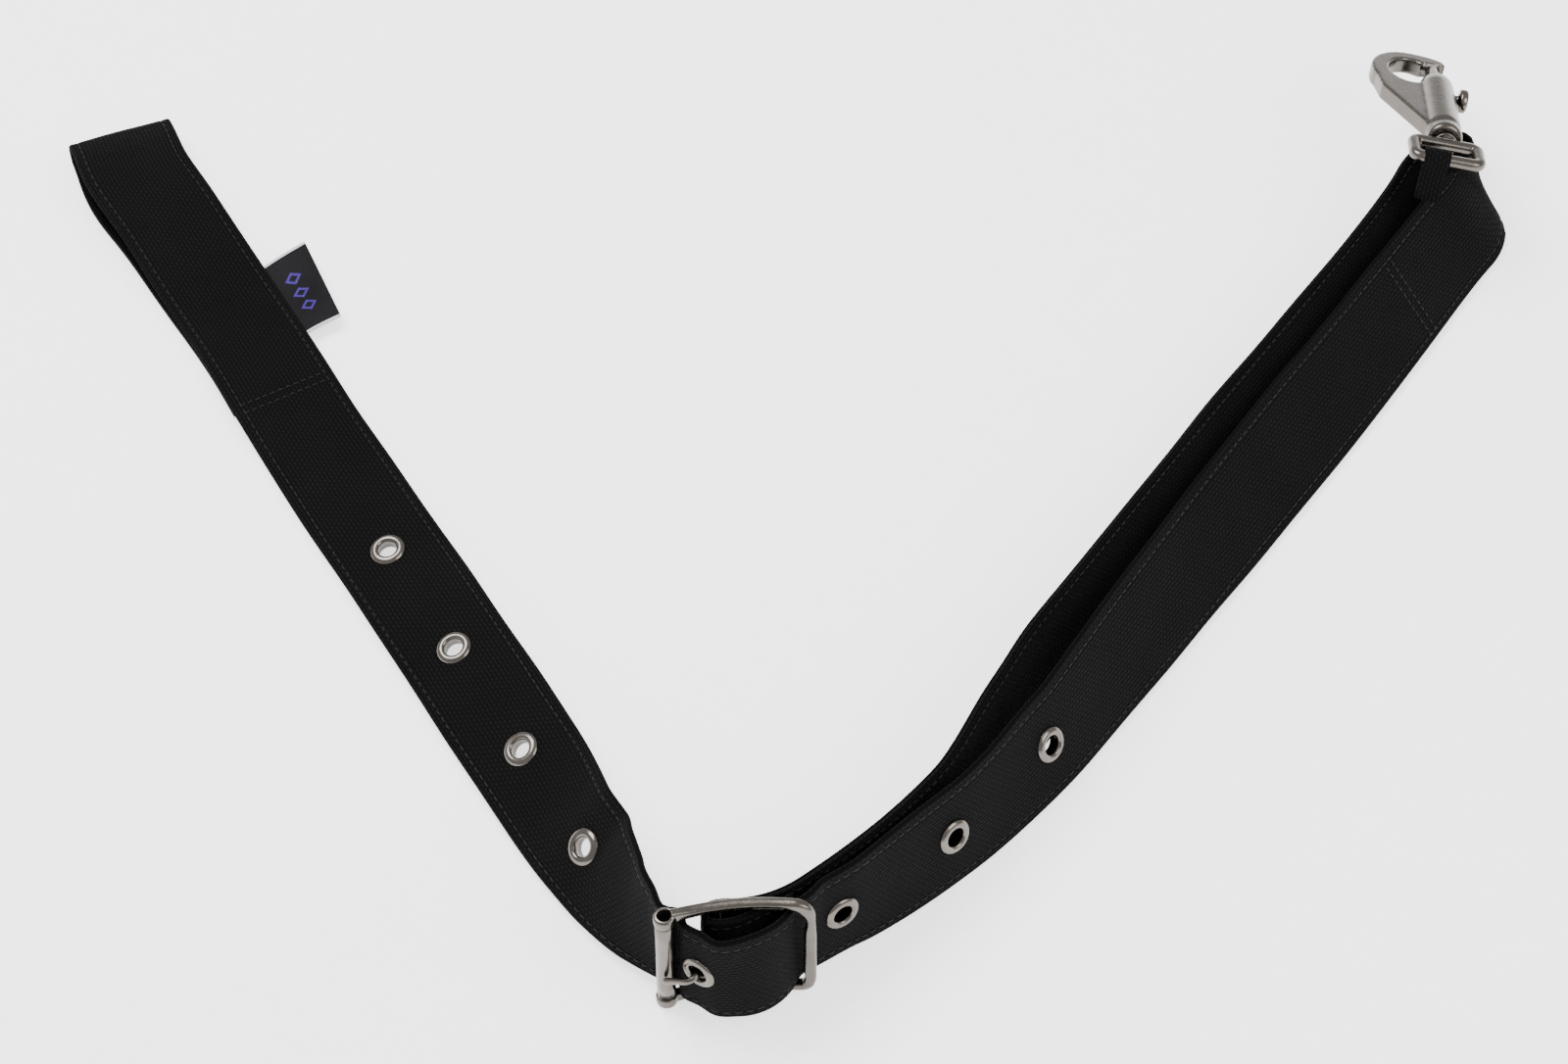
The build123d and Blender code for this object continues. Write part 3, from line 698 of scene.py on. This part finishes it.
def rounded_outline():
    """The buckle's bar from one roller eye round to the other: along, height, width there."""
    half_w, low, high, corner = 22.4, 1.6, FRAME_H - 1.6, 5.6
    plan = [(-21.5, high, 5.4), (-17.5, high, 4.4), (-13.0, high, 3.5)]
    plan += [(-6.0, high, 3.1), (4.0, high, 2.9), (12.0, high, 2.9)]
    for angle in (90, 72, 54, 36, 18, 0):
        c, s = cos(radians(angle)), sin(radians(angle))
        width = 3.2 + 1.1 * sin(radians(2 * angle))
        plan.append((half_w - corner + corner * c, high - corner + corner * s, width))
    plan += [(half_w, 31.0, 3.9), (half_w, 20.0, 4.0), (half_w, 12.0, 4.1)]
    for angle in (0, -30, -60, -90):
        c, s = cos(radians(angle)), sin(radians(angle))
        plan.append((half_w - 3.4 + 3.4 * c, low + 3.4 + 3.4 * s, 3.6))
    plan += [(10.0, low, 3.0), (0.0, low, 3.0), (-10.0, low, 3.1), (-16.0, low, 4.0), (-21.5, low, 5.2)]
    return plan


PIN_R = 1.3
BAR_DEPTH = 3.7
ROLLER_EYE_R, ROLLER_EYE_H = 3.5, 4.0
EYE_HOLE_R, EYE_HOLE_DEPTH = 2.3, 3.4
ROLLER_R, ROLLER_BORE_R, ROLLER_END = 3.0, 1.6, 4.3


def make_buckle_frame(material, shadowed):
    """The bowed frame with an eye at each end of the roller's pin, melted into one casting."""
    plan = np.array(rounded_outline())
    reach = np.concatenate([[0], np.cumsum(np.linalg.norm(np.diff(plan[:, :2], axis=0), axis=1))])
    smooth = Strap.hermite(reach, plan, np.linspace(0, reach[-1], 150))
    ahead = np.gradient(smooth[:, :2], axis=0)
    ahead /= np.linalg.norm(ahead, axis=1)[:, None]
    centres, sides, ups, widths, depths = [], [], [], [], []
    along, back = heading(BUCKLE_TURN), heading(BUCKLE_TURN + 90)
    for (a, z, width), (da, dz) in zip(smooth, ahead):
        centres.append(buckle_point(a, BOW * (1 - (a / BAR_A) ** 2), z))
        sides.append(along * -dz + UP * da)
        ups.append(back)
        widths.append(width)
        depths.append(BAR_DEPTH)
    bar = swept("buckle_frame_bar", centres, sides, ups, widths, depths, material, 20, 2.9)
    eyes = []
    for low, high in ((0.0, ROLLER_EYE_H), (FRAME_H - ROLLER_EYE_H, FRAME_H)):
        rim = 0.5
        profile = [
            (0.0, low), (ROLLER_EYE_R - 0.5, low), (ROLLER_EYE_R - 0.05, low + rim),
            (ROLLER_EYE_R, (low + high) / 2), (ROLLER_EYE_R - 0.05, high - rim),
            (ROLLER_EYE_R - 0.5, high), (0.0, high),
        ]
        eyes.append(spun("buckle_eye", buckle_point(-BAR_A, 0, 0), UP, profile, material, 40, closed=False))
    pin_ends = buckle_point(-BAR_A, 0, 2), buckle_point(-BAR_A, 0, FRAME_H - 2)
    eyes.append(cylinder("buckle_pin", *pin_ends, PIN_R, material))
    join(bar, eyes)
    remesh(bar, 0.26, 14)
    hole_ends = buckle_point(-BAR_A, 0, FRAME_H - EYE_HOLE_DEPTH), buckle_point(-BAR_A, 0, FRAME_H + 2)
    hole = cylinder("hole", *hole_ends, EYE_HOLE_R, shadowed)
    cut(bar, [hole])
    bar.name = bar.data.name = "buckle_frame_cast"
    return bar


def join(piece, others):
    """Adds the other objects' meshes to the piece, and removes them."""
    bm = bmesh.new()
    bm.from_mesh(piece.data)
    for other in others:
        bm.from_mesh(other.data)
    bm.to_mesh(piece.data)
    bm.free()
    for other in others:
        bpy.data.objects.remove(other)


def remesh(piece, voxel, rounds):
    """Melts joined solids into one casting with softened corners."""
    grid = piece.modifiers.new("melt", "REMESH")
    grid.mode = "VOXEL"
    grid.voxel_size = voxel * MM
    grid.use_smooth_shade = True
    if rounds:
        soft = piece.modifiers.new("soften", "SMOOTH")
        soft.factor = 0.5
        soft.iterations = rounds
    bpy.context.view_layer.update()
    apply_modifiers(piece)
    piece.data.polygons.foreach_set("use_smooth", [True] * len(piece.data.polygons))


def make_buckle(nickel, bright, shadowed):
    """The frame and the roller, and the centre bar's metal."""
    cast = make_buckle_frame(nickel, shadowed)
    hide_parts("buckle_frame")
    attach(cast, "strap")
    low, high, outer, inner = ROLLER_END, FRAME_H - ROLLER_END, ROLLER_R, ROLLER_BORE_R
    profile = [
        (inner, low), (outer - 0.35, low), (outer, low + 0.4),
        (outer + 0.02, low + 6), (outer + 0.05, FRAME_H / 2),
        (outer + 0.02, high - 6), (outer, high - 0.4), (outer - 0.35, high), (inner, high),
    ]
    roller = spun("buckle_roller_tube", buckle_point(-BAR_A, 0, 0), UP, profile, bright, 48)
    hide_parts("buckle_roller")
    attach(roller, "roller")
    centre_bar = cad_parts["buckle_centre_bar"].data.materials
    centre_bar.clear()
    centre_bar.append(nickel)


def make_tongue(hole, material):
    """A ring round the centre bar and a prong through the eyelet, bent to rest on the roller."""
    level = RAISE + STRAP_W / 2
    pivot = buckle_point(CENTRE_BAR_A, CENTRE_D, level)
    target = Vector((hole.x, hole.y, level))
    out = (target - pivot).normalized()
    bend = target + out * 5.2
    rest = buckle_point(-BAR_A - 0.6, -(ROLLER_R + 0.05) - TONGUE_R - 0.1, level - TONGUE_DROP)
    on = (rest - bend).normalized()
    start, turn_in, turn_out = pivot + out * 3.0, bend - out * 3.4, bend + on * 3.4
    centres = [start.lerp(turn_in, k / 6) for k in range(6)]
    for k in range(9):
        t = k / 8
        centres.append(turn_in.lerp(bend, t).lerp(bend.lerp(turn_out, t), t))
    centres += [turn_out.lerp(rest, k / 8) for k in range(1, 9)]
    centres += [rest + on * 0.45, rest + on * 0.75]
    sizes = [2.2] * (len(centres) - 3) + [2.1, 1.6, 0.7]
    sides, ups = [], []
    for i in range(len(centres)):
        ahead = centres[min(i + 1, len(centres) - 1)] - centres[max(i - 1, 0)]
        ups.append(ahead.cross(UP).normalized())
        sides.append(ups[-1].cross(ahead).normalized())
    prong = swept("buckle_tongue_prong", centres, sides, ups, sizes, sizes, material, 20)
    inner, outer, half = CENTRE_BAR_R + 0.12, 3.55, 2.25
    profile = [
        (inner, -half), (outer - 0.5, -half), (outer, 0.5 - half), (outer, half - 0.5),
        (outer - 0.5, half), (inner, half),
    ]
    join(prong, [spun("tongue_ring", pivot, UP, profile, material, 48)])
    remesh(prong, 0.2, 4)
    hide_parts("buckle_tongue")
    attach(prong, "tongue")


def snap_axes():
    """The snap's own directions: to its knob, to its head, and out of its face."""
    ahead = SNAP_TOWARDS.normalized()
    level = ahead.cross(UP).normalized()
    up = level.cross(ahead)
    side = level * cos(radians(SNAP_ROLL)) - up * sin(radians(SNAP_ROLL))
    return side, ahead, side.cross(ahead)


def snap_point(x, y, z=0.0):
    """A point in the snap's own plane: x to the knob, y to the head, z out of the face."""
    side, ahead, face = snap_axes()
    return SNAP_AT - MIDDLE + side * x + ahead * y + face * z


def arc_points(centre, radius_x, radius_y, first, last, steps):
    """Points along an ellipse's arc, with the angles in degrees."""
    points = []
    for k in range(steps + 1):
        turn = radians(first + (last - first) * k / steps)
        points.append((centre[0] + radius_x * cos(turn), centre[1] + radius_y * sin(turn)))
    return points


def plate(name, outline, thickness, material):
    """A flat piece of the snap's plane, cut to an outline."""
    count = len(outline)
    points = [snap_point(x, y, z) for z in (-thickness / 2, thickness / 2) for x, y in outline]
    faces = [tuple(range(count)), tuple(range(count, 2 * count))]
    faces += [(k, (k + 1) % count, (k + 1) % count + count, k + count) for k in range(count)]
    return make_piece(name, points, faces, material)


def make_snap_body(material):
    """The hook and its barrel as one casting, with the bore, the slot and the socket cut in."""
    hook = [(0.0, -2.0), (-6.6, 0.0), (-10.8, 7.6), (-16.4, 17.8), (-20.8, 25.8)]
    hook += arc_points((-9.2, 41.6), 14.6, 16.0, 205, 90, 22)
    hook += [(-5.0, 57.3), (-1.4, 56.6), (1.8, 55.6), (3.8, 54.0), (4.2, 52.2), (4.2, 30.0)]
    body = plate("snap_hook", hook, HOOK_T, material)
    ring = plate("hole", arc_points(RING_AT, *RING_RADII, 0, 352, 44), CUT_DEEP, material)
    cut(body, [ring])
    groove_r = BARREL_R - 0.6
    barrel = [
        (0.0, BARREL_LOW), (5.6, BARREL_LOW), (6.5, BARREL_LOW + 0.9), (BARREL_R, BARREL_LOW + 3),
        (groove_r, BARREL_LOW + 4.6), (groove_r, BARREL_LOW + 6.2), (BARREL_R, BARREL_LOW + 7.8),
        (BARREL_R, BARREL_HIGH - 5.0), (6.2, BARREL_HIGH - 1.6), (5.6, BARREL_HIGH), (0.0, BARREL_HIGH),
    ]
    ahead = snap_axes()[1]
    join(body, [spun("barrel", snap_point(0, 0), ahead, barrel, material, 56, closed=False)])
    remesh(body, 0.36, 30)
    mouth = plate("mouth", MOUTH, CUT_DEEP, material)
    bore = cylinder("bore", snap_point(0, BORE_LOW), snap_point(0, BARREL_HIGH + 2), BORE_R, material)
    socket_ends = snap_point(0, BARREL_LOW - 2), snap_point(0, BARREL_LOW + 5.5)
    socket = cylinder("socket", *socket_ends, SOCKET_R, material)
    slot_outline = arc_points((0, SLOT_LOW), SLOT_R, SLOT_R, 180, 360, 12)
    slot_outline += arc_points((0, SLOT_HIGH), SLOT_R, SLOT_R, 0, 180, 12)
    slot_points = [snap_point(x, y, z) for x in (0.0, 2 * BARREL_R - 1.2) for z, y in slot_outline]
    count = len(slot_outline)
    slot_faces = [tuple(range(count)), tuple(range(count, 2 * count))]
    slot_faces += [(k, (k + 1) % count, (k + 1) % count + count, k + count) for k in range(count)]
    slot = make_piece("slot", slot_points, slot_faces, material)
    cut(body, [mouth, bore, socket, slot])
    body.name = body.data.name = "snap_body_cast"
    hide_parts("snap_body")
    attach(body, "hook")


def make_snap_bolt(material):
    """The bolt that closes the mouth, and its thumb knob."""
    side, ahead, _ = snap_axes()
    bolt_profile = [
        (0.0, 20.0), (2.4, 20.0), (2.85, 20.5), (2.87, 35.0), (2.86, 49.6), (2.7, 50.4), (2.2, 51.0),
        (1.3, 51.3), (0.0, 51.35),
    ]
    knob_profile = [
        (0.0, 2.95), (1.65, 2.95), (1.65, 7.1), (1.9, 7.8), (2.6, 8.1), (3.7, 8.15), (4.15, 8.4),
        (4.3, 8.9), (4.3, 10.2), (4.1, 10.75), (3.6, 11.05), (2.6, 11.15), (0.0, 11.2),
    ]
    bolt = spun("snap_bolt_turned", snap_point(0, 0), ahead, bolt_profile, material, 48, closed=False)
    knob = spun("bolt_knob_turned", snap_point(0, KNOB_Y), side, knob_profile, material, 48, closed=False)
    for piece, node in ((bolt, "snap_bolt"), (knob, "bolt_knob")):
        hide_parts(node)
        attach(piece, "bolt")


def make_snap_eye(material):
    """The square eye of bent bar, with the headed post that turns in the barrel."""
    side, ahead, face = snap_axes()
    top = BARREL_LOW - 0.6
    half_w, half_l, corner = (EYE_W - EYE_WIRE) / 2, (EYE_LENGTH - EYE_WIRE) / 2, 2.6
    middle = top - EYE_LENGTH / 2
    loop = []
    for x, y, first in ((1, 1, 0), (-1, 1, 90), (-1, -1, 180), (1, -1, 270)):
        place = (x * (half_w - corner), middle + y * (half_l - corner))
        loop += arc_points(place, corner, corner, first, first + 90, 8)
    centres, sides = [], []
    for i, (x, y) in enumerate(loop):
        after, before = loop[(i + 1) % len(loop)], loop[i - 1]
        along = Vector((after[0] - before[0], after[1] - before[1])).normalized()
        centres.append(snap_point(x, y))
        sides.append(side * along.y - ahead * along.x)
    count = len(loop)
    widths, depths = [EYE_WIRE + 0.5] * count, [EYE_WIRE + 0.3] * count
    bar = swept("snap_eye_bar", centres, sides, [face] * count, widths, depths, material, 20, 2.3, True)
    low = top - EYE_WIRE / 2
    post = [
        (0.0, low), (4.3, low), (4.2, top - 0.6), (3.6, top), (2.98, top + 0.3), (2.98, BARREL_LOW + 5.3),
        (4.3, BARREL_LOW + 5.3), (4.3, BARREL_LOW + 7.6), (0.0, BARREL_LOW + 7.6),
    ]
    join(bar, [spun("post", snap_point(0, 0), ahead, post, material, 48, closed=False)])
    remesh(bar, 0.3, 6)
    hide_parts("snap_eye")
    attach(bar, "eye")


def make_keeper(material):
    """A tape doubled round the eye's far bar."""
    side = snap_axes()[0]
    bar_y = BARREL_LOW - 0.6 - EYE_LENGTH + EYE_WIRE / 2
    drop = radians(KEEPER_DROP)
    plan = [(15.3, -0.62), (11.0, -0.66), (7.0, -0.8), (4.6, -1.6)]
    ring = [(KEEPER_R * cos(radians(t)), -KEEPER_R * sin(radians(t))) for t in range(40, 321, 20)]
    plan += ring + [(4.6, 1.6), (7.0, 0.8), (11.0, 0.66), (15.3, 0.62)]
    centres, ups = [], []
    for down, over in plan:
        y = down * cos(drop) - over * sin(drop)
        z = down * sin(drop) + over * cos(drop)
        centres.append(snap_point(KEEPER_X, bar_y + y, z))
    for i in range(len(centres)):
        ahead_here = centres[min(i + 1, len(centres) - 1)] - centres[max(i - 1, 0)]
        ups.append(ahead_here.cross(side).normalized())
    count = len(centres)
    widths, depths = [KEEPER_W] * count, [KEEPER_T] * count
    tape = swept("snap_keeper_tape", centres, [side] * count, ups, widths, depths, material, 24, 6.0)
    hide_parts("snap_keeper")
    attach(tape, "strap")


# The label: where it starts along the seam, its tuck into it, and its reach at each end
LABEL_START, LABEL_LENGTH, LABEL_TUCK = -4.5, 36.5, 2.6
LABEL_REACH, LABEL_FLARE, LABEL_HALF_T = 15.6, 4.0, 0.34


def make_label(near, satin, edge):
    """A satin tag folded in half, sewn into the seam at the arm's inner edge, its ends painted pale as a
    highlight.
    """
    along, across = -near["travel"], near["across"]
    origin = near["middle"] + across * (STRAP_W / 2)
    steps = 36
    points, uvs = [], []
    for i in range(steps + 1):
        u = i / steps
        root = origin + along * (LABEL_START + LABEL_LENGTH * u) - across * LABEL_TUCK
        reach = LABEL_REACH + LABEL_FLARE * u
        slant = along * (1.4 + 2.0 * u)
        layer = []
        for k in range(13):
            v = k / 12
            rise = 0.9 * sin(pi * v) * sin(2.2 * pi * u + 0.5) + 1.5 * v * v * (0.4 + 0.6 * u)
            place = root + across * (reach * v) + slant * v + UP * rise
            layer.append((place, v))
        ring = [(place + UP * LABEL_HALF_T, v) for place, v in layer]
        tip, _ = layer[-1]
        ring += [(tip + across * 0.35 + UP * 0.2, 1.0), (tip + across * 0.35 - UP * 0.2, 1.0)]
        ring += [(place - UP * LABEL_HALF_T, v) for place, v in reversed(layer)]
        ring_count = len(ring)
        for place, v in ring:
            points.append(place)
            uvs.append((u, v))
    faces = tube_faces(steps + 1, ring_count)
    tag = make_piece("label_tag", points, faces, satin, uvs)
    tag.data.materials.append(edge)
    # The end caps and the strips nearest each end take the pale painted highlight
    for polygon in tag.data.polygons:
        us = [uvs[k][0] for k in polygon.vertices]
        if len(us) > 4 or min(us) < 0.02 and max(us) < 0.04 or min(us) > 0.96:
            polygon.material_index = 1
    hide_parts("label")
    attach(tag, "girth_strap")


# ---------------------------------------------------------------- floor, light and camera


def add_light(name, place, target, size, power):
    data = bpy.data.lights.new(name, "AREA")
    data.shape = "RECTANGLE"
    data.size, data.size_y = size
    data.energy = power
    lamp = bpy.data.objects.new(name, data)
    lamp.location = place
    lamp.rotation_mode = "QUATERNION"
    lamp.rotation_quaternion = (Vector(target) - Vector(place)).to_track_quat("-Z", "Y")
    bpy.context.scene.collection.objects.link(lamp)


FLOOR_HALF, FLOOR_DROP = 6.0, 0.0003


def make_stage():
    """A wide pale floor just under the strap, a white room and two soft lamps."""
    floor = bpy.data.meshes.new("floor")
    corners = [(x * FLOOR_HALF, y * FLOOR_HALF, 0) for x, y in ((-1, -1), (1, -1), (1, 1), (-1, 1))]
    floor.from_pydata(corners, [], [(0, 1, 2, 3)])
    floor.materials.append(floor_material())
    piece = bpy.data.objects.new("floor", floor)
    piece.location.z = -FLOOR_DROP
    bpy.context.scene.collection.objects.link(piece)
    world = bpy.data.worlds.new("studio")
    world.use_nodes = True
    background = world.node_tree.nodes["Background"]
    background.inputs[0].default_value = (1.0, 1.0, 1.0, 1.0)
    background.inputs[1].default_value = 0.88
    bpy.context.scene.world = world
    add_light("key", (-0.55, 0.35, 1.25), (0, 0, 0), (0.9, 0.7), 27.0)
    add_light("fill", (0.9, -0.5, 0.9), (0, 0, 0), (0.8, 0.8), 11.0)


def make_camera():
    """The camera, 50 degrees above the floor in front of the buckle."""
    data = bpy.data.cameras.new("camera")
    data.lens, data.sensor_width = 100.0, 36.0
    camera = bpy.data.objects.new("camera", data)
    camera.location = (Vector((15.2, -755.5, 1134.5)) - MIDDLE) * MM
    camera.rotation_euler = (radians(40.0), 0.0, 0.0)
    bpy.context.scene.collection.objects.link(camera)
    bpy.context.scene.camera = camera


# ---------------------------------------------------------------- making it


def main():
    make_camera()
    make_stage()
    webbing, thread = webbing_material(), thread_material()
    nickel = nickel_material("nickel_cast")
    bright = nickel_material("nickel_bright", 1.12, 0.2)
    course, eyelets, arm, main_strap = strap_course()
    strap = Strap(course)
    fold = (snap_fold(main_strap[-1])[2][0], np.array(main_strap[-1]["travel"]))
    ribbon = make_strap(strap, fold, webbing)
    cutters = []
    for place in eyelets:
        axis = place["travel"].cross(place["across"])
        ends = place["middle"] - axis * 4, place["middle"] + axis * 4
        cutters.append(cylinder("hole", *ends, EYELET_CUT_R, webbing, 32))
    cut(ribbon, cutters)
    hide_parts(*WEBBING)
    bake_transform(ribbon)
    threads = Threads()
    for face in (1, -1):
        for v in (-ROW_V, ROW_V):
            threads.row(strap, v, face, 4.0, strap.length - 3.0)
    seams = [strap.nearest(section_at["middle"], 60.0) for section_at in (arm[6], main_strap[-3])]
    for s in seams + [5.0]:
        for face in (1, -1):
            threads.bar(strap, s, face)
            threads.bar(strap, s + BAR_APART, face)
    sewing = threads.piece("strap_stitching", thread)
    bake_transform(sewing)
    for number, place in enumerate(eyelets, 1):
        make_eyelet(number, place, "girth_strap" if number <= 4 else "strap", bright)
    make_buckle(nickel, bright, nickel_material("nickel_shadowed", 0.06, 0.6))
    make_tongue(eyelets[4]["middle"], nickel)
    make_snap_body(nickel)
    make_snap_bolt(bright)
    make_snap_eye(nickel)
    make_keeper(webbing)
    make_label(arm[5], label_material(), painted_highlight_material())
    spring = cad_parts["bolt_spring"].data.materials
    spring.clear()
    spring.append(nickel_material("spring_steel", 0.9, 0.3))


main()
